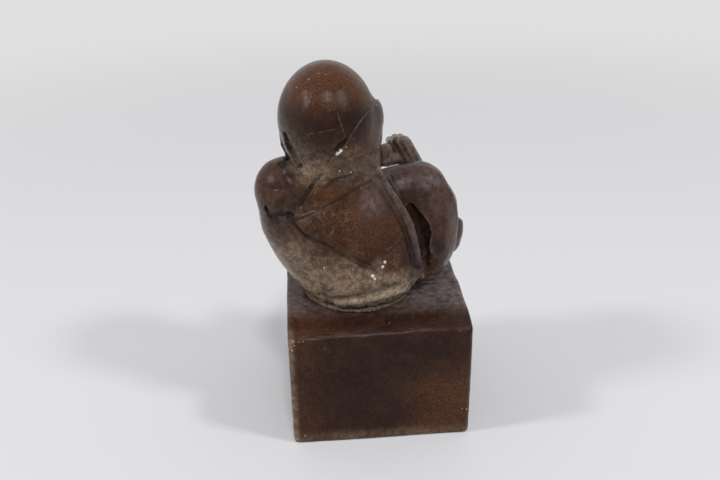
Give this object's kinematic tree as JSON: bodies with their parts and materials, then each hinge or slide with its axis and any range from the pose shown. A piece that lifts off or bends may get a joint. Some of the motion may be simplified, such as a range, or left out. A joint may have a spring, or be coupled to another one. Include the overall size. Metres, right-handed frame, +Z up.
{
  "type": "chalkware figure",
  "caption": "Hunched robed plaster bust with a head wrap and raised hands beside its cheeks, painted dark brown and set on a square block as a shelf ornament.",
  "frame": {"origin": "middle of the block's flat underside", "axes": "+Z up, the figure faces -Y, its own left side is +X"},
  "size_m": [0.0918, 0.076, 0.1555],
  "materials": {
    "painted_plaster": "satin",
    "setting_plaster": "matte",
    "dowel_wood": "matte",
    "iron_wire": "satin"
  },
  "bodies": {
    "root": {"base_block": "painted_plaster", "setting_bed": "setting_plaster", "torso": "painted_plaster", "head": "painted_plaster", "right_arm": "painted_plaster", "left_arm": "painted_plaster", "right_hand": "painted_plaster", "left_hand": "painted_plaster", "foot_dowel": "dowel_wood", "neck_dowel": "dowel_wood", "right_arm_pin": "iron_wire", "left_arm_pin": "iron_wire", "right_wrist_wire": "iron_wire", "left_wrist_wire": "iron_wire"}
  },
  "joints": []
}
